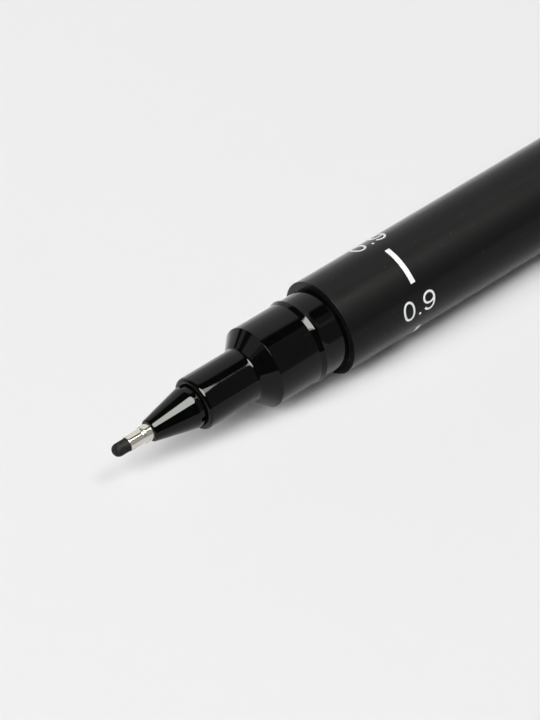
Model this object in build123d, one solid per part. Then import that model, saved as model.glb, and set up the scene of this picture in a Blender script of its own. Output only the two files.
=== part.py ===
from build123d import *
import math
import os

# Fineliner pen with its cap posted on the tail, lying along X with the nib towards -X.
# The origin is on the pen's axis, halfway along the barrel. Sizes are in millimetres.

# Clearances
press_gap = 0.02  # radial, between pieces pushed together for good
nib_gap = 0.01  # radial, round the nib's rod
film_gap = 0.01  # radial, between the ink reservoir and its film
loose_gap = 0.05  # radial, round the filled reservoir
end_gap = 0.15  # along the axis, behind pieces that stop short of their seat
cap_gap = 0.05  # radial, between the cap's mouth and what it slides on
post_gap = 0.2  # along the axis, between the barrel's tail and the posted cap
seal_gap = 0.03  # along the axis, between the inner cap's lip and the shoulder it seals on
slot_gap = 0.15  # round the clip's root in its slot
table_gap = 0.02  # under the clip's edge when the pen lies on a table

# Barrel
barrel_radius = 5.5
barrel_length = 88.0
barrel_wall = 1.05
barrel_edge = 0.1  # rounding of both rims
rib_count = 6
rib_width = 0.8

# Nib and its steel sleeve
nib_exposed = 1.85
nib_dome = 0.7  # rounding of the writing end
nib_in_wick = 1.6
sleeve_radius = 0.83
sleeve_wall = 0.08
sleeve_exposed = 2.9
sleeve_flare_length = 1.05
sleeve_flare_radius = 0.96
sleeve_edge = 0.05
sleeve_seat_length = 3.6

# Nose cone
cone_length = 5.05
cone_tip_radius = 1.23
cone_tip_edge = 0.12
shank_radius = 2.37
collar_length = 0.8  # stretch of the shank that shows in front of the grip
shank_seat_length = 5.0
cone_lip_length = 0.6  # inner lip that the sleeve stops against
vent_count = 3  # air grooves along the shank, open at the collar
vent_width = 0.65
vent_depth = 0.45
vent_turn = 90  # degrees of the first groove from +Z towards -Y

# Grip section
grip_radius = 3.02
grip_length = 6.88
grip_rim_edge = 0.35
shoulder_root = 0.22  # rounding where the grip meets the shoulder
shoulder_length = 1.62
seat_drop = 0.82  # from the barrel's surface down to the cap's seat and the neck
seat_edge = 0.04
seat_length = 5.38
bead_height = 0.2  # of the bead that the cap snaps over
bead_ramp = 0.56  # slope that faces the nib
bead_step = 0.08  # steep side that faces the barrel
bead_edge = 0.04
foot_height = 0.09  # rise of the neck towards the bead
foot_length = 0.74
neck_length = 2.44  # plain stretch of the neck up to the barrel
bulkhead_length = 5.5
spigot_length = 8.0
spigot_chamfer = 0.4

# Ink feed
wick_radius = 1.2
wick_in_core = 17.0
core_radius = 3.55
film_wall = 0.12

# Tail plug
tail_spigot_length = 7.0
stub_length = 8.4
stub_edge = 0.6
plug_wall = 1.2

# Cap
cap_wall = 1.05
cap_edge = 0.2
cap_end_gap = 0.15  # room beyond the seat when the cap is on the nib
inner_cap_wall = 0.8
inner_cap_floor = 1.1
nib_headroom = 1.6  # room in front of the nib when the cap is on it
crown_spigot_length = 4.0
crown_head_length = 3.0
crown_edge = 1.1

# Clip
clip_width = 4.0
clip_thickness = 0.55
clip_lift = 1.75  # room between the cap and the clip's flat stretch
clip_length = 30.0
clip_tip_length = 3.2  # flared end beyond the point that presses on the cap
clip_ramp_length = 6.0  # stretch that comes down to the cap
clip_tip_lift = 1.2
clip_press_gap = 0.1  # between the clip's pressing point and the cap
clip_setback = 1.8  # from the cap shell's crown end to the root's middle
clip_root_gap = 0.15  # between the root's inner end and the crown's spigot
clip_root_bend = 1.0
clip_ramp_bend = 6.0
clip_press_bend = 2.0
clip_corner = 1.2

# Stations along X
barrel_front = -barrel_length / 2
barrel_tail = barrel_length / 2
foot_end = barrel_front - neck_length
foot_start = foot_end - foot_length
bead_crest = foot_start - bead_step
bead_start = bead_crest - bead_ramp
seat_start = bead_start - seat_length
shoulder_start = seat_start - shoulder_length
grip_front = shoulder_start - grip_length
cone_base = grip_front - collar_length
cone_front = cone_base - cone_length
sleeve_front = cone_front - sleeve_exposed
nib_tip = sleeve_front - nib_exposed

sleeve_end = cone_front + sleeve_seat_length
socket_front = sleeve_end + cone_lip_length
wick_front = socket_front + end_gap
nib_end = wick_front + nib_in_wick
shank_end = grip_front + shank_seat_length
bulkhead_end = shank_end + bulkhead_length
spigot_end = barrel_front + spigot_length
core_front = bulkhead_end + end_gap
wick_end = core_front + wick_in_core
plug_front = barrel_tail - tail_spigot_length
core_end = plug_front - end_gap
stub_end = barrel_tail + stub_length

# Radii that follow from the fits
nib_radius = sleeve_radius - sleeve_wall - nib_gap
bore_radius = barrel_radius - barrel_wall
spigot_radius = bore_radius - press_gap
film_inner_radius = core_radius + film_gap
film_radius = film_inner_radius + film_wall
chamber_radius = film_radius + loose_gap
rib_reach = film_radius + loose_gap
wick_bore_radius = wick_radius + press_gap
seat_radius = barrel_radius - seat_drop
snap_radius = seat_radius + bead_height
stub_radius = snap_radius
cap_radius = barrel_radius
mouth_radius = snap_radius + cap_gap
cap_bore_radius = cap_radius - cap_wall
inner_cap_radius = cap_bore_radius - press_gap
inner_cap_bore = inner_cap_radius - inner_cap_wall

# Cap stations, counted from its mouth as the cap sits on the nib end, then posted on the tail
front_length = barrel_front - nib_tip
seat_depth = barrel_front - seat_start
cap_mouth = barrel_tail + post_gap
mouth_end = cap_mouth + seat_depth + cap_end_gap
inner_floor_start = cap_mouth + front_length + nib_headroom
inner_cap_end = inner_floor_start + inner_cap_floor
crown_front = inner_cap_end + end_gap
shell_end = crown_front + crown_spigot_length
crown_end = shell_end + crown_head_length


def turned(outline, rounds=()):
    face = make_face(Polyline(*outline, close=True))
    for corner, radius in rounds:
        nearest = face.vertices().sort_by_distance(Vector(*corner))[0]
        face = fillet(nearest, radius)
    return revolve(face, Axis.X)


def tube(start, end, inner, outer, rounds=()):
    return turned([(start, inner), (start, outer), (end, outer), (end, inner)], rounds)


def seal_station(radius):
    share = (seat_radius - radius) / (seat_radius - grip_radius)
    return cap_mouth + seat_depth + share * shoulder_length + seal_gap


def make_nib():
    tip_round = min(nib_dome, 0.97 * nib_radius)
    rod = [(nib_tip, 0), (nib_tip, nib_radius), (nib_end, nib_radius), (nib_end, 0)]
    return turned(rod, [((nib_tip, nib_radius), tip_round)])


def make_nib_sleeve():
    bore = sleeve_radius - sleeve_wall
    outline = [
        (sleeve_front, bore),
        (sleeve_front, sleeve_radius),
        (cone_front - sleeve_flare_length, sleeve_radius),
        (cone_front, sleeve_flare_radius),
        (sleeve_end, sleeve_flare_radius),
        (sleeve_end, bore),
    ]
    return turned(outline, [((sleeve_front, sleeve_radius), min(sleeve_edge, 0.6 * sleeve_wall))])


def make_nose_cone():
    sleeve_bore = sleeve_flare_radius + press_gap
    outline = [
        (cone_front, sleeve_bore),
        (cone_front, cone_tip_radius),
        (cone_base, shank_radius),
        (shank_end, shank_radius),
        (shank_end, wick_bore_radius),
        (socket_front, wick_bore_radius),
        (socket_front, nib_radius + press_gap),
        (sleeve_end, nib_radius + press_gap),
        (sleeve_end, sleeve_bore),
    ]
    tip_edge = min(cone_tip_edge, 0.6 * (cone_tip_radius - sleeve_bore))
    body = turned(outline, [((cone_front, cone_tip_radius), tip_edge)])
    depth = min(vent_depth, 0.6 * (shank_radius - wick_bore_radius))
    groove = Pos((cone_base + shank_end) / 2, 0, shank_radius) * Box(shank_end - cone_base, vent_width, 2 * depth)
    grooves = [Rot(X=vent_turn + 360 * turn / vent_count) * groove for turn in range(vent_count)]
    return body - grooves


def make_grip_section():
    shank_bore = shank_radius + press_gap
    outline = [
        (grip_front, shank_bore),
        (grip_front, grip_radius),
        (shoulder_start, grip_radius),
        (seat_start, seat_radius),
        (bead_start, seat_radius),
        (bead_crest, snap_radius),
        (foot_start, seat_radius + foot_height),
        (foot_end, seat_radius),
        (barrel_front, seat_radius),
        (barrel_front, spigot_radius),
        (spigot_end - spigot_chamfer, spigot_radius),
        (spigot_end, spigot_radius - spigot_chamfer),
        (spigot_end, chamber_radius),
        (bulkhead_end, chamber_radius),
        (bulkhead_end, wick_bore_radius),
        (shank_end, wick_bore_radius),
        (shank_end, shank_bore),
    ]
    rim_edge = min(grip_rim_edge, 0.8 * (grip_radius - shank_bore))
    rounds = [
        ((grip_front, grip_radius), rim_edge),
        ((shoulder_start, grip_radius), shoulder_root),
        ((seat_start, seat_radius), seat_edge),
        ((bead_crest, snap_radius), bead_edge),
    ]
    return turned(outline, rounds)


def make_barrel():
    rim_edge = min(barrel_edge, 0.6 * barrel_wall)
    rims = [((barrel_front, barrel_radius), rim_edge), ((barrel_tail, barrel_radius), rim_edge)]
    body = tube(barrel_front, barrel_tail, bore_radius, barrel_radius, rims)
    rib_front = spigot_end + end_gap
    rib_end = plug_front - end_gap
    rib_height = bore_radius + barrel_wall / 2 - rib_reach
    rib = Pos((rib_front + rib_end) / 2, 0, rib_reach + rib_height / 2) * Box(rib_end - rib_front, rib_width, rib_height)
    ribs = [Rot(X=360 * turn / rib_count) * rib for turn in range(rib_count)]
    return body + ribs


def make_feed_wick():
    socket_radius = nib_radius + nib_gap
    outline = [
        (wick_front, socket_radius),
        (wick_front, wick_radius),
        (wick_end, wick_radius),
        (wick_end, 0),
        (nib_end, 0),
        (nib_end, socket_radius),
    ]
    return turned(outline)


def make_reservoir_core():
    outline = [
        (core_front, wick_bore_radius),
        (core_front, core_radius),
        (core_end, core_radius),
        (core_end, 0),
        (wick_end, 0),
        (wick_end, wick_bore_radius),
    ]
    return turned(outline)


def make_reservoir_film():
    return tube(core_front, core_end, film_inner_radius, film_radius)


def make_tail_plug():
    hollow_radius = spigot_radius - plug_wall
    outline = [
        (plug_front, hollow_radius),
        (plug_front, spigot_radius - spigot_chamfer),
        (plug_front + spigot_chamfer, spigot_radius),
        (barrel_tail, spigot_radius),
        (barrel_tail, stub_radius),
        (stub_end, stub_radius),
        (stub_end, 0),
        (stub_end - plug_wall, 0),
        (stub_end - plug_wall, hollow_radius),
    ]
    return turned(outline, [((stub_end, stub_radius), stub_edge)])


def clip_turn():
    outer = cap_radius + clip_lift + clip_thickness
    half = clip_width / 2
    return math.degrees(math.acos((barrel_radius - table_gap) / math.hypot(outer, half)) + math.atan2(half, outer))


def at_clip(shape):
    # A shape drawn straight below the axis swings round to the clip's side, where its edge meets the table.
    return Rot(X=-clip_turn()) * shape


clip_root = shell_end - clip_setback
clip_root_inner = cap_bore_radius + clip_root_gap


def make_cap_shell():
    outline = [
        (cap_mouth, mouth_radius),
        (cap_mouth, cap_radius),
        (shell_end, cap_radius),
        (shell_end, cap_bore_radius),
        (mouth_end, cap_bore_radius),
        (mouth_end, mouth_radius),
    ]
    mouth_edge = min(cap_edge, 0.6 * (cap_radius - mouth_radius))
    shell = turned(outline, [((cap_mouth, cap_radius), mouth_edge)])
    slot_height = 2 * cap_wall
    slot = Box(clip_thickness + 2 * slot_gap, clip_width + 2 * slot_gap, slot_height)
    return shell - at_clip(Pos(clip_root, 0, -cap_radius + cap_wall / 2) * slot)


def make_inner_cap():
    outline = [
        (seal_station(inner_cap_bore), inner_cap_bore),
        (seal_station(inner_cap_radius), inner_cap_radius),
        (inner_cap_end, inner_cap_radius),
        (inner_cap_end, 0),
        (inner_floor_start, 0),
        (inner_floor_start, inner_cap_bore),
    ]
    return turned(outline)


def make_cap_crown():
    outline = [
        (crown_front, 0),
        (crown_front, inner_cap_radius),
        (shell_end, inner_cap_radius),
        (shell_end, cap_radius),
        (crown_end, cap_radius),
        (crown_end, 0),
    ]
    return turned(outline, [((crown_end, cap_radius), min(crown_edge, 0.9 * crown_head_length))])


def make_clip():
    half = clip_thickness / 2
    flat_height = -(cap_radius + clip_lift + half)
    press_height = -(cap_radius + clip_press_gap + half)
    press_station = clip_root - clip_length + clip_tip_length
    path = FilletPolyline(
        (clip_root, 0, -clip_root_inner),
        (clip_root, 0, flat_height),
        (press_station + clip_ramp_length, 0, flat_height),
        (press_station, 0, press_height),
        (clip_root - clip_length, 0, press_height - clip_tip_lift),
        radius=[clip_root_bend, clip_ramp_bend, clip_press_bend],
    )
    section = Plane(origin=path @ 0, x_dir=(0, 1, 0), z_dir=path % 0) * Rectangle(clip_width, clip_thickness)
    strip = sweep(section, path)
    reach = clip_length + clip_thickness
    plan = Pos(clip_root + clip_thickness - reach / 2, 0) * Rectangle(reach, clip_width)
    plan = fillet(plan.vertices().group_by(Axis.X)[0], min(clip_corner, 0.45 * clip_width))
    tool = extrude(plan, -(cap_radius + clip_lift + clip_tip_lift + 2 * clip_thickness))
    return at_clip(strip & tool)


pieces = {
    "nib": make_nib(),
    "nib_sleeve": make_nib_sleeve(),
    "nose_cone": make_nose_cone(),
    "grip_section": make_grip_section(),
    "feed_wick": make_feed_wick(),
    "reservoir_core": make_reservoir_core(),
    "reservoir_film": make_reservoir_film(),
    "barrel": make_barrel(),
    "tail_plug": make_tail_plug(),
    "cap_shell": make_cap_shell(),
    "inner_cap": make_inner_cap(),
    "cap_crown": make_cap_crown(),
    "clip": make_clip(),
}

os.makedirs("parts", exist_ok=True)
for name, shape in pieces.items():
    export_step(shape, f"parts/{name}.step")

pivot_radius = (clip_root_inner + cap_radius) / 2
print("nib tip", round(nib_tip, 3), "crown end", round(crown_end, 3), "posted length", round(crown_end - nib_tip, 3))
print("length with the cap on the nib", round(stub_end - barrel_front + crown_end - cap_mouth, 3))
print("clip turn from straight down", round(clip_turn(), 3), "pivot", round(clip_root, 3), round(pivot_radius, 3))
print("cap hollow", round(stub_end, 3), round(inner_floor_start, 3), "radius", round(inner_cap_bore, 3))
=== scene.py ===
import bpy
import math
from mathutils import Matrix, Vector


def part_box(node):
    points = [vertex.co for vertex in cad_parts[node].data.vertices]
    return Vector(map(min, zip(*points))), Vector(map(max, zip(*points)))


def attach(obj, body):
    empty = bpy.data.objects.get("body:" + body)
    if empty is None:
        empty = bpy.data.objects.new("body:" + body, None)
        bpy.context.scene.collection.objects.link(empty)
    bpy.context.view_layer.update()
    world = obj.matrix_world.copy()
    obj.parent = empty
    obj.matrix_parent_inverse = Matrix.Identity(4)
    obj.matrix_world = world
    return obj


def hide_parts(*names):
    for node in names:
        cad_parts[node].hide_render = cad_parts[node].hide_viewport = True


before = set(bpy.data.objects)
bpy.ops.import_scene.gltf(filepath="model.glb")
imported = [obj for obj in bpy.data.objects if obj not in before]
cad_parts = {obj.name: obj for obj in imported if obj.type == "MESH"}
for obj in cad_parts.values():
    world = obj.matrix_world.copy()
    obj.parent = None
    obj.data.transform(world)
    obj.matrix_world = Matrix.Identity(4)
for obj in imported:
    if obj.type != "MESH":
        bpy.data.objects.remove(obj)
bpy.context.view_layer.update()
mm = 0.001
latheSides = 192
edgeSteps = 6
near = 0.0005 * mm  # how close a point has to be to count as on a ring
shading = {"angle": 32, "weight": 100}


def deselectAll():
    if bpy.context.mode != "OBJECT":
        bpy.ops.object.mode_set(mode="OBJECT")
    bpy.ops.object.select_all(action="DESELECT")


def pickUp(piece):
    deselectAll()
    piece.select_set(True)
    bpy.context.view_layer.objects.active = piece


def settle(piece):
    pickUp(piece)
    bpy.ops.object.transform_apply(location=True, rotation=True, scale=True)


def applyModifier(piece, modifier):
    pickUp(piece)
    bpy.ops.object.modifier_apply(modifier=modifier.name)


def startRing(name, station, radius, sides):
    deselectAll()
    bpy.ops.mesh.primitive_circle_add(
        vertices=sides, radius=radius, location=(station, 0, 0), rotation=(0, math.pi / 2, 0))
    piece = bpy.context.object
    piece.name = name
    piece.data.name = name
    settle(piece)
    return piece


def clearPicks(piece):
    for group in (piece.data.vertices, piece.data.edges, piece.data.polygons):
        for item in group:
            item.select = False


def pickRing(piece, station, radius):
    clearPicks(piece)
    points = piece.data.vertices
    for edge in piece.data.edges:
        places = [points[i].co for i in edge.vertices]
        edge.select = all(
            abs(p.x - station) < near and abs(math.hypot(p.y, p.z) - radius) < near for p in places)


# A turned piece: rings from one end of its outline to the other, each (station, radius, rounding)
def turnPiece(name, rings, closing, sides=latheSides, roundSteps=edgeSteps):
    rings = [tuple(size * mm for size in ring) for ring in rings]
    piece = startRing(name, rings[0][0], rings[0][1], sides)
    bpy.ops.object.mode_set(mode="EDIT")
    bpy.ops.mesh.select_mode(type="EDGE")
    bpy.ops.mesh.select_all(action="SELECT")
    for last, ring in zip(rings, rings[1:]):
        bpy.ops.mesh.extrude_region_move(TRANSFORM_OT_translate={"value": (ring[0] - last[0], 0, 0)})
        grow = ring[1] / last[1]
        bpy.ops.transform.resize(value=(1, grow, grow), center_override=(ring[0], 0, 0))
    bpy.ops.mesh.select_all(action="DESELECT")
    bpy.ops.mesh.select_non_manifold(
        extend=False, use_wire=False, use_boundary=True, use_multi_face=False,
        use_non_contiguous=False, use_verts=False)
    if closing == "bridge":
        bpy.ops.mesh.bridge_edge_loops()
    else:
        bpy.ops.mesh.fill_holes(sides=0)
    bpy.ops.mesh.select_all(action="SELECT")
    bpy.ops.mesh.normals_make_consistent(inside=False)
    bpy.ops.object.mode_set(mode="OBJECT")
    for station, radius, rounding in rings:
        if rounding:
            pickRing(piece, station, radius)
            bpy.ops.object.mode_set(mode="EDIT")
            bpy.ops.mesh.bevel(
                offset_type="OFFSET", offset=rounding, segments=roundSteps, profile=0.5, affect="EDGES")
            bpy.ops.object.mode_set(mode="OBJECT")
    return piece


# plain rings at shares of the way from one ring to the next, which keep the shading straight
def between(first, last, *shares):
    run = last[0] - first[0]
    rise = last[1] - first[1]
    return [(first[0] + run * share, first[1] + rise * share, 0) for share in shares]


def smoothPiece(piece):
    pickUp(piece)
    bpy.ops.object.shade_smooth_by_angle(angle=math.radians(shading["angle"]))
    weighted = piece.modifiers.new("flatFaces", "WEIGHTED_NORMAL")
    weighted.keep_sharp = True
    weighted.weight = shading["weight"]
    applyModifier(piece, weighted)


def dress(piece, body, material, nodes=()):
    piece.data.materials.clear()
    piece.data.materials.append(material)
    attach(piece, body)
    if nodes:
        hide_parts(*nodes)


def ends(node):
    low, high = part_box(node)
    return low.x / mm, high.x / mm


def outerRadius(node):
    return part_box(node)[1].y / mm


# Finishes: colours are linear, grain is in noise cells per metre, relief is in mm
noiseBand = (0.3, 0.7)  # where most of a noise lies


def newMaterial(name):
    material = bpy.data.materials.new(name)
    material.use_nodes = True
    nodes = material.node_tree.nodes
    links = material.node_tree.links
    shader = nodes["Principled BSDF"]
    coords = nodes.new("ShaderNodeTexCoord")
    return material, nodes, links, shader, coords


def stretched(nodes, links, coords, scale=(1, 1, 1)):
    mapping = nodes.new("ShaderNodeMapping")
    mapping.inputs["Scale"].default_value = scale
    links.new(coords.outputs["Object"], mapping.inputs["Vector"])
    return mapping


def noise(nodes, links, mapping, scale, detail, rough=0.5):
    grain = nodes.new("ShaderNodeTexNoise")
    grain.inputs["Scale"].default_value = scale
    grain.inputs["Detail"].default_value = detail
    grain.inputs["Roughness"].default_value = rough
    links.new(mapping.outputs["Vector"], grain.inputs["Vector"])
    return grain.outputs["Fac"]


def ramp(nodes, links, source, places, colours):
    made = nodes.new("ShaderNodeValToRGB")
    for element, place, colour in zip(made.color_ramp.elements, places, colours):
        element.position = place
        element.color = (*colour, 1)
    links.new(source, made.inputs["Fac"])
    return made.outputs["Color"]


def spread(nodes, links, source, limits, socket):
    made = nodes.new("ShaderNodeMapRange")
    made.inputs["From Min"].default_value, made.inputs["From Max"].default_value = noiseBand
    made.inputs["To Min"].default_value, made.inputs["To Max"].default_value = limits
    links.new(source, made.inputs["Value"])
    links.new(made.outputs["Result"], socket)


def bump(nodes, links, height, relief, socket):
    made = nodes.new("ShaderNodeBump")
    made.inputs["Distance"].default_value = relief * mm
    links.new(height, made.inputs["Height"])
    links.new(made.outputs["Normal"], socket)


glossFinish = {
    "cloud": 700, "tints": ((0.0009, 0.0009, 0.0009), (0.0016, 0.0016, 0.0016)),
    "haze": 2600, "roughness": (0.025, 0.04), "flow": 420, "relief": 0.0003, "ior": 1.285,
}


def glossMoulding(name):
    finish = glossFinish
    material, nodes, links, shader, coords = newMaterial(name)
    even = stretched(nodes, links, coords)
    cloud = noise(nodes, links, even, finish["cloud"], detail=3)
    tint = ramp(nodes, links, cloud, noiseBand, finish["tints"])
    links.new(tint, shader.inputs["Base Color"])
    haze = noise(nodes, links, even, finish["haze"], detail=4)
    spread(nodes, links, haze, finish["roughness"], shader.inputs["Roughness"])
    flow = noise(nodes, links, even, finish["flow"], detail=1)
    bump(nodes, links, flow, finish["relief"], shader.inputs["Normal"])
    shader.inputs["IOR"].default_value = finish["ior"]
    return material


# a coarse grain under a satin skin, with sparse dust: the middles of some cells
matteFinish = {
    "cloud": 260, "tints": ((0.0018, 0.0018, 0.0018), (0.003, 0.003, 0.003)),
    "dust": 900, "dustReach": (0.035, 0.06), "dustTint": (0.05, 0.05, 0.0485, 1),
    "grain": 6500, "roughness": (0.5, 0.64), "relief": 0.012, "ior": 1.135,
    "mottle": 4200, "skinRoughness": (0.115, 0.155), "skinRelief": 0.004, "skinIor": 1.185,
}


def matteSkin(name):
    finish = matteFinish
    material, nodes, links, shader, coords = newMaterial(name)
    even = stretched(nodes, links, coords)
    cloud = noise(nodes, links, even, finish["cloud"], detail=3)
    tint = ramp(nodes, links, cloud, noiseBand, finish["tints"])
    dust = nodes.new("ShaderNodeTexVoronoi")
    dust.inputs["Scale"].default_value = finish["dust"]
    links.new(even.outputs["Vector"], dust.inputs["Vector"])
    speck = ramp(nodes, links, dust.outputs["Distance"], finish["dustReach"], ((1, 1, 1), (0, 0, 0)))
    dusty = nodes.new("ShaderNodeMixRGB")
    dusty.inputs["Color2"].default_value = finish["dustTint"]
    links.new(speck, dusty.inputs["Fac"])
    links.new(tint, dusty.inputs["Color1"])
    links.new(dusty.outputs["Color"], shader.inputs["Base Color"])
    grain = noise(nodes, links, even, finish["grain"], detail=3, rough=0.6)
    spread(nodes, links, grain, finish["roughness"], shader.inputs["Roughness"])
    bump(nodes, links, grain, finish["relief"], shader.inputs["Normal"])
    shader.inputs["IOR"].default_value = finish["ior"]
    mottle = noise(nodes, links, even, finish["mottle"], detail=3, rough=0.6)
    spread(nodes, links, mottle, finish["skinRoughness"], shader.inputs["Coat Roughness"])
    bump(nodes, links, mottle, finish["skinRelief"], shader.inputs["Coat Normal"])
    shader.inputs["Coat Weight"].default_value = 1.0
    shader.inputs["Coat IOR"].default_value = finish["skinIor"]
    return material


steelTints = ((0.6, 0.575, 0.51), (0.68, 0.655, 0.59))


# the finish's lines are the noise cells per metre along, across and up the pen
def drawnSteel(name, finish):
    material, nodes, links, shader, coords = newMaterial(name)
    drawn = stretched(nodes, links, coords, finish["lines"])
    grain = noise(nodes, links, drawn, 1, detail=4, rough=0.65)
    tint = ramp(nodes, links, grain, noiseBand, steelTints)
    links.new(tint, shader.inputs["Base Color"])
    spread(nodes, links, grain, finish["roughness"], shader.inputs["Roughness"])
    bump(nodes, links, grain, finish["relief"], shader.inputs["Normal"])
    shader.inputs["Metallic"].default_value = finish["metallic"]
    return material


fibreFinish = {
    "stretch": (0.5, 1, 1), "strands": 6500, "band": (0.36, 0.66), "roughness": (0.45, 0.65),
    "relief": 0.03, "ior": 1.18,
}


def pressedFibre(name, tints):
    finish = fibreFinish
    material, nodes, links, shader, coords = newMaterial(name)
    lengthwise = stretched(nodes, links, coords, finish["stretch"])
    strands = noise(nodes, links, lengthwise, finish["strands"], detail=4, rough=0.65)
    tint = ramp(nodes, links, strands, finish["band"], tints)
    links.new(tint, shader.inputs["Base Color"])
    spread(nodes, links, strands, finish["roughness"], shader.inputs["Roughness"])
    bump(nodes, links, strands, finish["relief"], shader.inputs["Normal"])
    shader.inputs["IOR"].default_value = finish["ior"]
    return material


inkFinish = {
    "cover": 5200, "band": (0.25, 0.6), "tints": ((0.7, 0.71, 0.71), (0.86, 0.87, 0.87)),
    "roughness": (0.45, 0.6), "relief": 0.003,
}


def printInk(name):
    finish = inkFinish
    material, nodes, links, shader, coords = newMaterial(name)
    even = stretched(nodes, links, coords)
    cover = noise(nodes, links, even, finish["cover"], detail=4, rough=0.6)
    tint = ramp(nodes, links, cover, finish["band"], finish["tints"])
    links.new(tint, shader.inputs["Base Color"])
    spread(nodes, links, cover, finish["roughness"], shader.inputs["Roughness"])
    bump(nodes, links, cover, finish["relief"], shader.inputs["Normal"])
    return material


linerFinish = {"cloud": 900, "roughness": (0.35, 0.5), "relief": 0.004}


def softLiner(name, tints):
    finish = linerFinish
    material, nodes, links, shader, coords = newMaterial(name)
    even = stretched(nodes, links, coords)
    cloud = noise(nodes, links, even, finish["cloud"], detail=3)
    tint = ramp(nodes, links, cloud, noiseBand, tints)
    links.new(tint, shader.inputs["Base Color"])
    spread(nodes, links, cloud, finish["roughness"], shader.inputs["Roughness"])
    bump(nodes, links, cloud, finish["relief"], shader.inputs["Normal"])
    return material


# Nib: a pressed fibre rod with a rounded writing end
nibSizes = {
    "dome": 0.7, "domeSteps": 10, "flat": 0.04, "sides": 96,
    "tints": ((0.003, 0.003, 0.003), (0.023, 0.023, 0.022)),
}


def makeNib():
    size = nibSizes
    tip, end = ends("nib")
    radius = outerRadius("nib")
    dome = size["dome"]
    rings = []
    for step in range(size["domeSteps"] + 1):
        turn = math.pi / 2 * step / size["domeSteps"]
        rings.append((tip + dome * (1 - math.cos(turn)), radius - dome + dome * math.sin(turn), 0))
    rings[0] = (tip, radius - dome + size["flat"], 0)
    rings.append((end, radius, 0))
    nib = turnPiece("nibRod", rings, "fill", sides=size["sides"])
    smoothPiece(nib)
    dress(nib, "pen", pressedFibre("nibFibre", size["tints"]), ["nib"])
    print("nib", tip, end, radius)


# Steel sleeve: a drawn tube, flared where it enters the cone
sleeveSizes = {
    "mouthRadius": 0.84, "radius": 0.8155, "wall": 0.08, "edge": 0.025, "boreEdge": 0.02, "exposed": 2.9,
    "waistRound": 0.08, "stepRadius": 0.955, "stepLength": 0.16, "stepRound": 0.05,
    "flareRadius": 0.942, "flareLength": 1.05, "tubeRings": (0.05, 0.93), "flareRing": 0.12, "sides": 128,
}
sleeveFinish = {"lines": (26000, 700, 700), "roughness": (0.055, 0.07), "metallic": 0.8, "relief": 0.000003}


def makeSleeve():
    size = sleeveSizes
    front, end = ends("nib_sleeve")
    mouth = front + size["exposed"]
    bore = size["mouthRadius"] - size["wall"]
    lip = (front, size["mouthRadius"], size["edge"])
    waist = (mouth - size["flareLength"], size["radius"], size["waistRound"])
    step = (waist[0] + size["stepLength"], size["stepRadius"], size["stepRound"])
    flare = (mouth, size["flareRadius"], 0)
    sleeve = turnPiece("nibSleeveTube", [
        (front, bore, size["boreEdge"]),
        lip,
        *between(lip, waist, *size["tubeRings"]),
        waist,
        step,
        *between(step, flare, size["flareRing"]),
        flare,
        (end, size["flareRadius"], 0),
        (end, bore, 0),
    ], "bridge", sides=size["sides"])
    smoothPiece(sleeve)
    dress(sleeve, "pen", drawnSteel("sleeveSteel", sleeveFinish), ["nib_sleeve"])
    print("sleeve", front, end)


# Nose cone: gloss moulding with a collar that shows its air vents in front of the grip
coneSizes = {
    "tipRadius": 1.23, "tipEdge": 0.15, "length": 5.05, "baseEdge": 0.12, "flankRings": (0.06, 0.95),
    "collar": 0.8, "collarFall": 0.0012, "collarRing": 0.22,
    "sleeveBore": 0.98, "boreEdge": 0.03, "wickBore": 1.22,
    "ventCount": 3, "ventTurn": 90, "ventWidth": 0.65, "ventDepth": 0.45, "skinShare": 0.9,
}


def makeCone():
    size = coneSizes
    front, end = ends("nose_cone")
    shank = outerRadius("nose_cone")
    base = front + size["length"]
    sleeveEnd = ends("nib_sleeve")[1]
    tip = (front, size["tipRadius"], size["tipEdge"])
    foot = (base, shank, size["baseEdge"])
    collar = (base + size["collar"], shank - size["collarFall"], 0)
    cone = turnPiece("noseConeMoulding", [
        (front, size["sleeveBore"], size["boreEdge"]),
        tip,
        *between(tip, foot, *size["flankRings"]),
        foot,
        *between(foot, collar, size["collarRing"]),
        collar,
        (end, shank - size["collarFall"], 0),
        (end, size["wickBore"], 0),
        (sleeveEnd, size["wickBore"], 0),
        (sleeveEnd, size["sleeveBore"], 0),
    ], "bridge")
    cutVents(cone, base + size["baseEdge"], base + size["collar"], shank)
    smoothPiece(cone)
    dress(cone, "pen", glossMoulding("noseGloss"), ["nose_cone"])
    print("cone", front, base, end)


# the vents are sunk from faces of the collar's skin, which lie outside a share of its radius
def cutVents(cone, start, stop, radius):
    size = coneSizes
    clearPicks(cone)
    halfTurn = math.degrees(size["ventWidth"] / 2 / radius)
    for face in cone.data.polygons:
        middle = face.center
        if not start * mm - near < middle.x < stop * mm + near:
            continue
        if math.hypot(middle.y, middle.z) < size["skinShare"] * radius * mm:
            continue
        turn = math.degrees(math.atan2(-middle.y, middle.z))
        for vent in range(size["ventCount"]):
            away = (turn - size["ventTurn"] - vent * 360 / size["ventCount"] + 180) % 360 - 180
            if abs(away) < halfTurn:
                face.select = True
    bpy.ops.object.mode_set(mode="EDIT")
    bpy.ops.mesh.select_mode(type="FACE")
    shrink = (radius - size["ventDepth"]) / radius
    bpy.ops.mesh.extrude_region_move(TRANSFORM_OT_translate={"value": (0, 0, 0)})
    bpy.ops.transform.resize(value=(1, shrink, shrink), center_override=(start * mm, 0, 0))
    bpy.ops.object.mode_set(mode="OBJECT")


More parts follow.
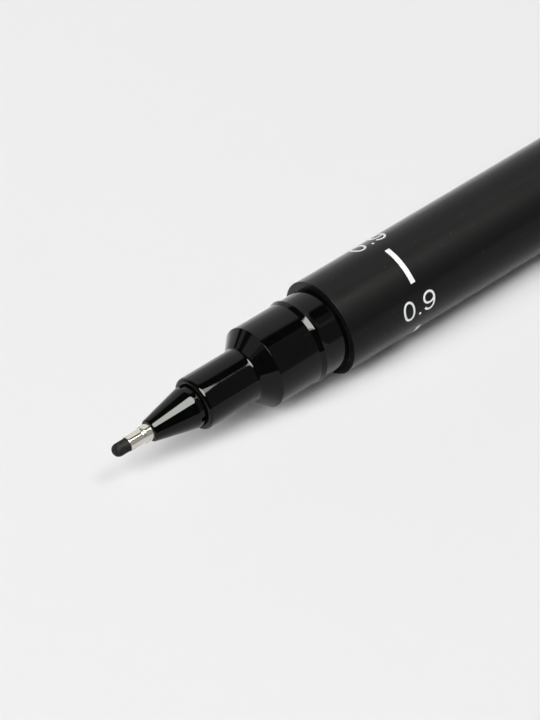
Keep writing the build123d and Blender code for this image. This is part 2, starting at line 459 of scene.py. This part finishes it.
# Grip section: grip, shoulder, the cap's seat and the snap bead, with a spigot inside the barrel
gripSizes = {
    "rimRadius": 2.992, "rimEdge": 0.35, "gripLength": 6.88, "rootRound": 0.12, "shoulderLength": 1.62,
    "gripSteps": 24, "rimClear": 1.2, "rootClear": 1.8, "waist": 0.0667, "waistAt": 0.7, "flarePower": 3,
    "rimFlare": 1.9, "rimReach": 3.0, "rootFlare": 1.4, "rootReach": 0.9, "shoulderRings": (0.12, 0.96),
    "seatRadius": 4.68, "seatEdge": 0.012, "neckLength": 2.44,
    "beadRamp": 0.58, "beadCurve": 1.1, "beadStart": 0.02, "beadStep": 0.08, "beadSteps": 12,
    "footHeight": 0.03, "footLength": 0.74, "footCurve": 2,
    "shankBore": 2.39, "boreEdge": 0.05, "shankSeat": 5.0, "bulkhead": 5.5, "wickBore": 1.22,
    "spigotRadius": 4.43, "spigotRound": 0.4, "chamberRadius": 3.73,
}


def makeGrip():
    size = gripSizes
    front, end = ends("grip_section")
    snapRadius = outerRadius("grip_section")
    shoulder = front + size["gripLength"]
    seat = shoulder + size["shoulderLength"]
    barrelFront = ends("barrel")[0]
    bulkhead = front + size["shankSeat"]
    gripRows = gripRings(front, shoulder)
    seatRing = (seat, size["seatRadius"], size["seatEdge"])
    grip = turnPiece("gripSectionMoulding", [
        (front, size["shankBore"], size["boreEdge"]),
        (front, size["rimRadius"], size["rimEdge"]),
        *gripRows,
        *between(gripRows[-1], seatRing, *size["shoulderRings"]),
        seatRing,
        *beadRings(barrelFront - size["neckLength"], snapRadius - size["seatRadius"]),
        (barrelFront, size["seatRadius"], 0),
        (barrelFront, size["spigotRadius"], 0),
        (end, size["spigotRadius"], size["spigotRound"]),
        (end, size["chamberRadius"], 0),
        (bulkhead + size["bulkhead"], size["chamberRadius"], 0),
        (bulkhead + size["bulkhead"], size["wickBore"], 0),
        (bulkhead, size["wickBore"], 0),
        (bulkhead, size["shankBore"], 0),
    ], "bridge")
    smoothPiece(grip)
    dress(grip, "pen", glossMoulding("gripGloss"), ["grip_section"])
    print("grip", front, shoulder, seat, barrelFront)


# the grip is a little waisted: its slope, in degrees, grows along it and flares at the rim and at the root
def gripRings(front, shoulder):
    size = gripSizes
    steps = size["gripSteps"]
    power = size["flarePower"]
    first = front + size["rimClear"] * size["rimEdge"]
    length = shoulder - size["rootClear"] * size["rootRound"] - first
    rings = []
    radius = size["rimRadius"]
    last = front
    for step in range(steps + 2):
        station = shoulder if step > steps else first + length * step / steps
        along = (last + station) / 2 - front
        fromRoot = size["gripLength"] - along
        slope = size["waist"] * (along - size["waistAt"])
        slope += size["rimFlare"] * max(0, 1 - along / size["rimReach"]) ** power
        slope += size["rootFlare"] * max(0, 1 - fromRoot / size["rootReach"]) ** power
        radius += math.tan(math.radians(slope)) * (station - last)
        rings.append((station, radius, size["rootRound"] if step > steps else 0))
        last = station
    return rings


# the snap bead: a swelling ramp towards the nib, a steep step and a hollow foot towards the barrel
def beadRings(footEnd, height):
    size = gripSizes
    steps = size["beadSteps"]
    footStart = footEnd - size["footLength"]
    crest = footStart - size["beadStep"]
    rings = []
    for share in (0, size["beadStart"], *(step / steps for step in range(1, steps + 1))):
        rise = 1 - (1 - share) ** size["beadCurve"]
        rings.append((crest - size["beadRamp"] * (1 - share), size["seatRadius"] + height * rise, 0))
    for step in range(steps + 1):
        share = step / steps
        rise = size["footHeight"] * (1 - share) ** size["footCurve"]
        rings.append((footStart + size["footLength"] * share, size["seatRadius"] + rise, 0))
    return rings


# Barrel: a matte tube, with the line width printed round its front
barrelSizes = {"wall": 1.05, "edge": 0.035, "boreEdge": 0.1}


def makeBarrel():
    size = barrelSizes
    front, tail = ends("barrel")
    radius = outerRadius("barrel")
    bore = radius - size["wall"]
    barrel = turnPiece("barrelTube", [
        (front, bore, size["boreEdge"]),
        (front, radius, size["edge"]),
        (tail, radius, size["edge"]),
        (tail, bore, size["boreEdge"]),
    ], "bridge")
    smoothPiece(barrel)
    dress(barrel, "pen", matteSkin("barrelMatte"), ["barrel"])
    print("barrel", front, tail, radius)


# Print: a dash and the line width in mm, three times round the barrel
# Flat places are (along the pen, up the numerals) in mm, from the middle of the numerals
printSizes = {
    "station": 9.5, "middleTurn": 76.85, "turns": 3, "pitch": 110.6, "stroke": 0.26, "thick": 0.02,
    "curveSteps": 14, "strokeSteps": 3, "weld": 0.001,
    "dashAt": 0.02, "dashWidth": 0.6, "dashFrom": 48.3, "dashTo": -1.2, "dashCuts": 30,
    "pointAt": -0.09, "pointUp": -0.99, "pointRadius": 0.16, "pointSides": 24,
    "zeroAt": -1.505, "zeroHalfWidth": 0.655, "zeroHalfHeight": 1.06, "zeroAcross": 0.6, "zeroAlong": 0.64,
    "nineAt": 1.37,
}
# each point of the nine: place, handle before, handle after
ninePath = [
    ((-0.70, -0.66), (-0.78, -0.55), (-0.60, -0.86)),
    ((-0.04, -1.06), (-0.40, -1.06), (0.42, -1.06)),
    ((0.68, 0.23), (0.68, -0.52), (0.68, 0.70)),
    ((-0.01, 1.06), (0.38, 1.06), (-0.40, 1.06)),
    ((-0.69, 0.40), (-0.69, 0.77), (-0.69, 0.03)),
    ((-0.01, -0.25), (-0.38, -0.25), (0.36, -0.25)),
    ((0.66, 0.15), (0.58, -0.08), (0.70, 0.25)),
]


# the zero's handles are shares of its half width and half height
def zeroPath():
    wide = printSizes["zeroHalfWidth"]
    tall = printSizes["zeroHalfHeight"]
    across = printSizes["zeroAcross"] * wide
    along = printSizes["zeroAlong"] * tall
    return [
        ((0, tall), (-across, tall), (across, tall)),
        ((wide, 0), (wide, along), (wide, -along)),
        ((0, -tall), (across, -tall), (-across, -tall)),
        ((-wide, 0), (-wide, -along), (-wide, along)),
    ]


def flatten(piece, share):
    pickUp(piece)
    bpy.ops.object.mode_set(mode="EDIT")
    bpy.ops.mesh.select_all(action="SELECT")
    bpy.ops.mesh.remove_doubles(threshold=printSizes["weld"] * mm)
    bpy.ops.transform.resize(value=(1, 1, share), center_override=(0, 0, 0))
    bpy.ops.mesh.normals_make_consistent(inside=False)
    bpy.ops.object.mode_set(mode="OBJECT")


def makeStroke(name, points, closed, station):
    size = printSizes
    deselectAll()
    bpy.ops.curve.primitive_bezier_curve_add(location=(0, 0, 0))
    curve = bpy.context.object
    curve.name = name
    curve.data.dimensions = "3D"
    spline = curve.data.splines[0]
    spline.bezier_points.add(len(points) - 2)
    for knot, (place, before, after) in zip(spline.bezier_points, points):
        knot.handle_left_type = "FREE"
        knot.handle_right_type = "FREE"
        knot.co = ((place[0] + station) * mm, place[1] * mm, 0)
        knot.handle_left = ((before[0] + station) * mm, before[1] * mm, 0)
        knot.handle_right = ((after[0] + station) * mm, after[1] * mm, 0)
    spline.use_cyclic_u = closed
    spline.resolution_u = size["curveSteps"]
    curve.data.bevel_depth = size["stroke"] / 2 * mm
    curve.data.bevel_resolution = size["strokeSteps"]
    curve.data.use_fill_caps = True
    bpy.ops.object.convert(target="MESH")
    stroke = bpy.context.object
    flatten(stroke, size["thick"] / size["stroke"] * 2)
    return stroke


def makePoint():
    size = printSizes
    deselectAll()
    bpy.ops.mesh.primitive_uv_sphere_add(
        segments=size["pointSides"], ring_count=size["pointSides"] // 2, radius=size["pointRadius"] * mm,
        location=(size["pointAt"] * mm, size["pointUp"] * mm, 0))
    point = bpy.context.object
    settle(point)
    flatten(point, size["thick"] / size["pointRadius"])
    return point


def makeDash(radius):
    size = printSizes
    top = math.radians(size["middleTurn"] - size["dashTo"]) * radius
    bottom = math.radians(size["middleTurn"] - size["dashFrom"]) * radius
    deselectAll()
    bpy.ops.mesh.primitive_cube_add(
        size=1, location=(size["dashAt"] * mm, (top + bottom) / 2 * mm, 0),
        scale=(size["dashWidth"] * mm, (top - bottom) * mm, 2 * size["thick"] * mm))
    dash = bpy.context.object
    settle(dash)
    bpy.ops.object.mode_set(mode="EDIT")
    bpy.ops.mesh.select_all(action="SELECT")
    bpy.ops.mesh.subdivide(number_cuts=size["dashCuts"])
    bpy.ops.object.mode_set(mode="OBJECT")
    return dash


def flatMark(radius):
    zero = makeStroke("markZero", zeroPath(), True, printSizes["zeroAt"])
    nine = makeStroke("markNine", ninePath, False, printSizes["nineAt"])
    point = makePoint()
    dash = makeDash(radius)
    deselectAll()
    for item in (zero, nine, point, dash):
        item.select_set(True)
    bpy.context.view_layer.objects.active = zero
    bpy.ops.object.join()
    mark = bpy.context.object
    mark.name = "lineWidthMark"
    return mark


def wrapMark(mark, radius, station, middleTurn):
    for point in mark.data.vertices:
        turn = math.radians(middleTurn) - point.co.y / (radius * mm)
        reach = radius * mm + point.co.z
        point.co = (station * mm + point.co.x, -reach * math.sin(turn), reach * math.cos(turn))
    mark.data.update()


def makePrint():
    size = printSizes
    station = ends("barrel")[0] + size["station"]
    radius = outerRadius("barrel")
    ink = printInk("printInk")
    flat = flatMark(radius)
    for turn in range(size["turns"]):
        pickUp(flat)
        bpy.ops.object.duplicate()
        mark = bpy.context.object
        mark.name = "lineWidthMark" + str(turn + 1)
        mark.data.name = mark.name
        wrapMark(mark, radius, station, size["middleTurn"] + (turn - 1) * size["pitch"])
        smoothPiece(mark)
        dress(mark, "pen", ink)
    bpy.data.objects.remove(flat)
    print("print marks", size["turns"])


# Tail plug: closes the barrel, with a stub for the posted cap
plugSizes = {"spigotRadius": 4.43, "spigotLength": 7.0, "chamfer": 0.4, "wall": 1.2, "stubEdge": 0.6}


def makePlug():
    size = plugSizes
    front, end = ends("tail_plug")
    radius = outerRadius("tail_plug")
    hollow = size["spigotRadius"] - size["wall"]
    tail = front + size["spigotLength"]
    plug = turnPiece("tailPlugMoulding", [
        (end - size["wall"], hollow, 0),
        (front, hollow, 0),
        (front, size["spigotRadius"], size["chamfer"]),
        (tail, size["spigotRadius"], 0),
        (tail, radius, 0),
        (end, radius, size["stubEdge"]),
    ], "fill")
    smoothPiece(plug)
    dress(plug, "pen", glossMoulding("plugGloss"), ["tail_plug"])
    print("plug", front, tail, end)


# Cap shell, with a slot for the clip's root
capSizes = {
    "mouthRadius": 4.93, "mouthDepth": 9.35, "mouthEdge": 0.1, "bore": 4.45, "edge": 0.2, "endEdge": 0.08,
    "slotGap": 0.15, "slotDepth": 2.1, "slotMiddle": 0.5,
}


def makeCap():
    size = capSizes
    mouth, end = ends("cap_shell")
    radius = outerRadius("cap_shell")
    shell = turnPiece("capShell", [
        (mouth, size["mouthRadius"], size["mouthEdge"]),
        (mouth, radius, size["edge"]),
        (end, radius, size["endEdge"]),
        (end, size["bore"], 0),
        (mouth + size["mouthDepth"], size["bore"], 0),
        (mouth + size["mouthDepth"], size["mouthRadius"], 0),
    ], "bridge")
    cutSlot(shell, radius)
    smoothPiece(shell)
    dress(shell, "cap", matteSkin("capMatte"), ["cap_shell"])
    print("cap shell", mouth, end)


def cutSlot(shell, radius):
    size = capSizes
    thick = clipSizes["thick"] + 2 * size["slotGap"]
    width = clipSizes["width"] + 2 * size["slotGap"]
    deselectAll()
    bpy.ops.mesh.primitive_cube_add(
        size=1, location=(clipSizes["root"] * mm, 0, -(radius - size["slotMiddle"]) * mm),
        scale=(thick * mm, width * mm, size["slotDepth"] * mm))
    cutter = bpy.context.object
    settle(cutter)
    swingToClip(cutter)
    slot = shell.modifiers.new("clipSlot", "BOOLEAN")
    slot.operation = "DIFFERENCE"
    slot.object = cutter
    applyModifier(shell, slot)
    bpy.data.objects.remove(cutter)


# Crown: the plug that closes the cap's end
crownSizes = {
    "spigotRadius": 4.43, "spigotLength": 4.0, "spigotRound": 0.2,
    "headEdge": 0.08, "edge": 1.1, "roundSteps": 12,
}


def makeCrown():
    size = crownSizes
    front, end = ends("cap_crown")
    radius = outerRadius("cap_crown")
    head = front + size["spigotLength"]
    crown = turnPiece("capCrownPlug", [
        (front, size["spigotRadius"], size["spigotRound"]),
        (head, size["spigotRadius"], 0),
        (head, radius, size["headEdge"]),
        (end, radius, size["edge"]),
    ], "fill", roundSteps=size["roundSteps"])
    smoothPiece(crown)
    dress(crown, "cap", glossMoulding("crownGloss"), ["cap_crown"])
    print("crown", front, end)


# Clip: a spring strip, bent at its root and lifted at its tip
clipSizes = {
    "root": 77.55, "rootInner": 4.6, "turn": 61.495, "width": 4.0, "thick": 0.55, "length": 30.0,
    "lift": 1.75, "rampLength": 6.0, "pressGap": 0.1, "tipLength": 3.2, "tipLift": 1.2,
    "bends": (1.0, 6.0, 2.0), "bendSteps": 8, "corner": 1.2, "cornerSteps": 8,
    "edge": 0.09, "edgeSteps": 4, "edgeAngle": 60, "weld": 0.01,
}
clipFinish = {"lines": (300, 16000, 16000), "roughness": (0.16, 0.32), "metallic": 0.9, "relief": 0.0004}


def swingToClip(piece):
    piece.rotation_euler = (-math.radians(clipSizes["turn"]), 0, 0)
    settle(piece)


def bentPath(corners, bends, steps):
    path = [corners[0]]
    for before, corner, after, bend in zip(corners, corners[1:], corners[2:], bends):
        into = (corner - before).normalized()
        out = (after - corner).normalized()
        angle = into.angle(out)
        reach = bend * math.tan(angle / 2)
        start = corner - into * reach
        inward = (out - into).normalized()
        centre = corner + inward * (bend / math.cos(angle / 2))
        spoke = start - centre
        for step in range(steps + 1):
            share = angle * step / steps
            path.append(centre + spoke * math.cos(share) + into * bend * math.sin(share))
    path.append(corners[-1])
    return path


# the middle line of the strip, as (station, height) with the pen's axis at height 0
def clipPath():
    size = clipSizes
    capRadius = outerRadius("cap_shell")
    half = size["thick"] / 2
    flat = -(capRadius + size["lift"] + half)
    press = -(capRadius + size["pressGap"] + half)
    pressAt = size["root"] - size["length"] + size["tipLength"]
    corners = [
        Vector((size["root"], -size["rootInner"])),
        Vector((size["root"], flat)),
        Vector((pressAt + size["rampLength"], flat)),
        Vector((pressAt, press)),
        Vector((size["root"] - size["length"], press - size["tipLift"])),
    ]
    return bentPath(corners, size["bends"], size["bendSteps"])


# one edge across the strip, at its root
def startStrip(name, start):
    deselectAll()
    bpy.ops.mesh.primitive_plane_add(size=1, location=(0, 0, 0))
    strip = bpy.context.object
    strip.name = name
    strip.data.name = name
    bpy.ops.object.mode_set(mode="EDIT")
    bpy.ops.mesh.delete(type="ONLY_FACE")
    bpy.ops.object.mode_set(mode="OBJECT")
    for point, side in zip(strip.data.vertices, (-1, 1, -1, 1)):
        point.co = (start.x * mm, side * clipSizes["width"] / 2 * mm, start.y * mm)
    bpy.ops.object.mode_set(mode="EDIT")
    bpy.ops.mesh.select_all(action="SELECT")
    bpy.ops.mesh.remove_doubles(threshold=clipSizes["weld"] * mm)
    bpy.ops.object.mode_set(mode="OBJECT")
    return strip


def drawStrip(strip, path):
    bpy.ops.object.mode_set(mode="EDIT")
    bpy.ops.mesh.select_mode(type="EDGE")
    bpy.ops.mesh.select_all(action="SELECT")
    for last, point in zip(path, path[1:]):
        move = (point - last) * mm
        bpy.ops.mesh.extrude_region_move(TRANSFORM_OT_translate={"value": (move.x, 0, move.y)})
    bpy.ops.object.mode_set(mode="OBJECT")
    clearPicks(strip)
    for point in strip.data.vertices:
        point.select = abs(point.co.x - path[-1].x * mm) < near
    bpy.ops.object.mode_set(mode="EDIT")
    bpy.ops.mesh.select_mode(type="VERT")
    bpy.ops.mesh.bevel(affect="VERTICES", offset=clipSizes["corner"] * mm, segments=clipSizes["cornerSteps"])
    bpy.ops.mesh.select_all(action="SELECT")
    bpy.ops.mesh.normals_make_consistent(inside=False)
    bpy.ops.object.mode_set(mode="OBJECT")


def thicken(strip):
    size = clipSizes
    wall = strip.modifiers.new("thickness", "SOLIDIFY")
    wall.thickness = size["thick"] * mm
    wall.offset = 0
    wall.use_even_offset = True
    applyModifier(strip, wall)
    edges = strip.modifiers.new("softEdges", "BEVEL")
    edges.width = size["edge"] * mm
    edges.segments = size["edgeSteps"]
    edges.limit_method = "ANGLE"
    edges.angle_limit = math.radians(size["edgeAngle"])
    applyModifier(strip, edges)


def makeClip():
    path = clipPath()
    clip = startStrip("clipStrip", path[0])
    drawStrip(clip, path)
    thicken(clip)
    swingToClip(clip)
    smoothPiece(clip)
    dress(clip, "clip", drawnSteel("clipSteel", clipFinish), ["clip"])
    print("clip", len(path), "stations")


# Pieces that stay inside keep their solids, with their own finish
innerFinishes = {
    "feed_wick": pressedFibre("wickFibre", ((0.012, 0.012, 0.014), (0.035, 0.035, 0.04))),
    "reservoir_core": pressedFibre("coreFibre", ((0.02, 0.02, 0.024), (0.05, 0.05, 0.056))),
    "reservoir_film": softLiner("filmMilky", ((0.7, 0.71, 0.72), (0.78, 0.79, 0.8))),
    "inner_cap": softLiner("linerNatural", ((0.68, 0.67, 0.63), (0.75, 0.74, 0.71))),
}


def dressInner():
    for node, material in innerFinishes.items():
        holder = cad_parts[node]
        holder.data.materials.clear()
        holder.data.materials.append(material)
    print("inner pieces", len(innerFinishes))


makeNib()
makeSleeve()
makeCone()
makeGrip()
makeBarrel()
makePrint()
makePlug()
makeCap()
makeCrown()
makeClip()
dressInner()


# Camera
cameraSizes = {
    "place": (-223.9, -199.8, 257.3), "aim": (-51.2, -0.2, 0.0),
    "lens": 175.0, "sensor": 36.0, "nearest": 10.0,
}


def makeCamera():
    place = Vector(cameraSizes["place"]) * mm
    aim = Vector(cameraSizes["aim"]) * mm
    deselectAll()
    bpy.ops.object.camera_add(location=place, rotation=(aim - place).to_track_quat("-Z", "Y").to_euler())
    camera = bpy.context.object
    camera.name = "photoCamera"
    camera.data.lens = cameraSizes["lens"]
    camera.data.sensor_width = cameraSizes["sensor"]
    camera.data.clip_start = cameraSizes["nearest"] * mm
    bpy.context.scene.camera = camera
    print("camera", tuple(round(size, 4) for size in place))


# Floor: pale and plain, with a painted glow behind the pen that only reflections see, so it looks a little
# brighter in the gloss than it shows
floorSizes = {
    "radius": 4000.0, "sides": 64, "cloud": 60, "tints": ((0.813, 0.813, 0.8145), (0.816, 0.816, 0.8175)),
    "roughness": 0.9, "paintedGlow": 0.4, "paintedGlowTint": (1, 0.985, 0.96, 1), "behind": (0.0, 1.0, 0.0),
    "paintedGlowBehind": (4.0, 16.0), "along": (1.0, -0.3, 0.0), "paintedGlowAlong": (-60.5, -53.5),
}


def makeFloor():
    size = floorSizes
    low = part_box("barrel")[0].z
    deselectAll()
    bpy.ops.mesh.primitive_circle_add(
        vertices=size["sides"], radius=size["radius"] * mm, fill_type="NGON", location=(0, 0, low))
    floor = bpy.context.object
    floor.name = "floor"
    settle(floor)
    material, nodes, links, shader, coords = newMaterial("paleFloor")
    even = stretched(nodes, links, coords)
    cloud = noise(nodes, links, even, size["cloud"], detail=3)
    tint = ramp(nodes, links, cloud, noiseBand, size["tints"])
    links.new(tint, shader.inputs["Base Color"])
    shader.inputs["Roughness"].default_value = size["roughness"]
    shader.inputs["Specular IOR Level"].default_value = 0.0
    # the floor also gets a painted glow, an emission that only reflections see
    addPaintedGlow(material, nodes, links, shader, coords)
    floor.data.materials.append(material)
    print("floor", low / mm)


# the painted glow, an emission only glossy rays see, grows from a start to a full place, in mm, backwards
# and along the pen
def addPaintedGlow(material, nodes, links, shader, coords):
    size = floorSizes
    level = nodes.new("ShaderNodeLightPath").outputs["Is Glossy Ray"]
    edges = ((size["behind"], size["paintedGlowBehind"]), (size["along"], size["paintedGlowAlong"]))
    for direction, (start, full) in edges:
        middle = (start + full) / 2 * mm
        soft = (full - start) / 2 * mm
        mask = edgeMask(nodes, links, coords, Vector(direction).normalized(), middle, soft)
        level = times(nodes, links, level, mask)
    # painted reflection: the floor glows here for glossy rays only, though it is no lamp
    shader.inputs["Emission Color"].default_value = size["paintedGlowTint"]
    links.new(times(nodes, links, level, size["paintedGlow"]), shader.inputs["Emission Strength"])
    material.cycles.emission_sampling = "NONE"


def edgeMask(nodes, links, coords, direction, middle, soft):
    along = nodes.new("ShaderNodeVectorMath")
    along.operation = "DOT_PRODUCT"
    along.inputs[1].default_value = direction
    links.new(coords.outputs["Object"], along.inputs[0])
    mask = nodes.new("ShaderNodeMapRange")
    mask.interpolation_type = "SMOOTHSTEP"
    mask.inputs["From Min"].default_value = middle - soft
    mask.inputs["From Max"].default_value = middle + soft
    links.new(along.outputs["Value"], mask.inputs["Value"])
    return mask.outputs["Result"]


def times(nodes, links, first, second):
    made = nodes.new("ShaderNodeMath")
    made.operation = "MULTIPLY"
    links.new(first, made.inputs[0])
    if isinstance(second, float):
        made.inputs[1].default_value = second
    else:
        links.new(second, made.inputs[1])
    return made.outputs["Value"]


# Fills: the light on the table and the print. Half angles are as seen from the camera's aim
fills = [
    {"name": "overheadFill", "from": (0.1134, -0.3515, 0.9293), "away": 5000.0, "shape": "DISK",
     "halfAngles": (8.3, 8.3), "radiance": 7.12},
    {"name": "nearFill", "from": (-0.569, -0.1773, 0.803), "away": 5000.0, "shape": "DISK",
     "halfAngles": (12.7, 12.7), "radiance": 6.94},
    {"name": "endFill", "from": (-0.8897, -0.0894, 0.4476), "away": 5000.0, "shape": "DISK",
     "halfAngles": (16.0, 16.0), "radiance": 17.8},
]
# Panels: what the pen's surfaces reflect
panelTint = (0.95, 1.0, 0.92)
panels = [
    {"name": "overheadPanel", "from": (0.0698, -0.2582, 0.9636), "away": 2500.0, "shape": "ELLIPSE",
     "halfAngles": (22.55, 19.6), "turn": 2.3, "radiance": 13.5, "tint": panelTint},
    {"name": "panelMiddle", "from": (0.0958, -0.2576, 0.9615), "away": 2400.0, "shape": "ELLIPSE",
     "halfAngles": (18.7, 18.6), "radiance": 14.5, "tint": panelTint},
    {"name": "sideGlow", "from": (0.5736, -0.1549, 0.8044), "away": 2500.0, "shape": "ELLIPSE",
     "halfAngles": (3.6, 24.0), "radiance": 0.35},
    {"name": "farWall", "from": (0.5, -0.709, 0.497), "away": 2500.0, "shape": "RECTANGLE",
     "halfAngles": (7.0, 38.0), "turn": -19.3, "radiance": 0.25},
    {"name": "windowLow", "from": (-0.493, 0.848, 0.196), "away": 2500.0, "shape": "RECTANGLE",
     "halfAngles": (7.7, 4.0), "radiance": 0.6},
    {"name": "windowHigh", "from": (-0.754, 0.433, 0.494), "away": 2400.0, "shape": "RECTANGLE",
     "halfAngles": (14.0, 6.0), "radiance": 0.42},
    {"name": "windowSpill", "from": (-0.79, 0.333, 0.516), "away": 2500.0, "shape": "RECTANGLE",
     "halfAngles": (17.3, 6.0), "radiance": 0.32},
]
overheadFrom = 0.7  # panels higher than this are levelled with the pen, lower ones upright


def makePanel(size, inGloss):
    towards = Vector(size["from"]).normalized()
    level = Vector((0, -1, 0)) if towards.z > overheadFrom else Vector((0, 0, 1))
    along = level.cross(towards).normalized()
    facing = Matrix((along, towards.cross(along), towards)).transposed()
    facing = facing @ Matrix.Rotation(math.radians(size.get("turn", 0)), 3, "Z")
    away = size["away"] * mm
    width, depth = (2 * away * math.tan(math.radians(half)) for half in size["halfAngles"])
    deselectAll()
    bpy.ops.object.light_add(
        type="AREA", location=Vector(cameraSizes["aim"]) * mm + towards * away, rotation=facing.to_euler())
    panel = bpy.context.object
    panel.name = size["name"]
    panel.data.shape = size["shape"]
    panel.data.size = width
    panel.data.size_y = depth
    area = width * depth * (1 if size["shape"] == "RECTANGLE" else math.pi / 4)
    panel.data.energy = size["radiance"] * math.pi * area
    panel.data.color = size.get("tint", (1, 1, 1))
    panel.visible_camera = False
    panel.visible_diffuse = not inGloss
    panel.visible_glossy = inGloss


def makePanels():
    for size in fills:
        makePanel(size, False)
    for size in panels:
        makePanel(size, True)
    print("panels", len(fills), len(panels))


# Room: dim, with a pale wall on one side of a soft edge, and a faint fill
roomLight = {
    "dim": 0.03, "wall": 0.97, "wallSide": (1.405, 0.759, -1.0), "softEdge": 0.045,
    "wallEnd": -0.3, "endEdge": 0.04, "fill": 0.02,
}


def makeRoom():
    scene = bpy.context.scene
    world = bpy.data.worlds.new("studioRoom")
    scene.world = world
    world.use_nodes = True
    nodes = world.node_tree.nodes
    links = world.node_tree.links
    back = nodes["Background"]
    coords = nodes.new("ShaderNodeTexCoord")
    wallSide = Vector(roomLight["wallSide"]).normalized()
    side = edgeMask(nodes, links, coords, wallSide, 0, roomLight["softEdge"])
    end = edgeMask(nodes, links, coords, Vector((1, 0, 0)), roomLight["wallEnd"], roomLight["endEdge"])
    wall = nodes.new("ShaderNodeMapRange")
    wall.inputs["To Min"].default_value = roomLight["dim"]
    wall.inputs["To Max"].default_value = roomLight["wall"]
    links.new(times(nodes, links, side, end), wall.inputs["Value"])
    path = nodes.new("ShaderNodeLightPath")
    level = nodes.new("ShaderNodeMix")
    level.inputs["B"].default_value = roomLight["fill"]
    links.new(path.outputs["Is Diffuse Ray"], level.inputs["Factor"])
    links.new(wall.outputs["Result"], level.inputs["A"])
    links.new(level.outputs["Result"], back.inputs["Strength"])
    back.inputs["Color"].default_value = (1, 1, 1, 1)
    scene.view_settings.view_transform = "Standard"
    print("room", world.name)


makeCamera()
makeFloor()
makePanels()
makeRoom()
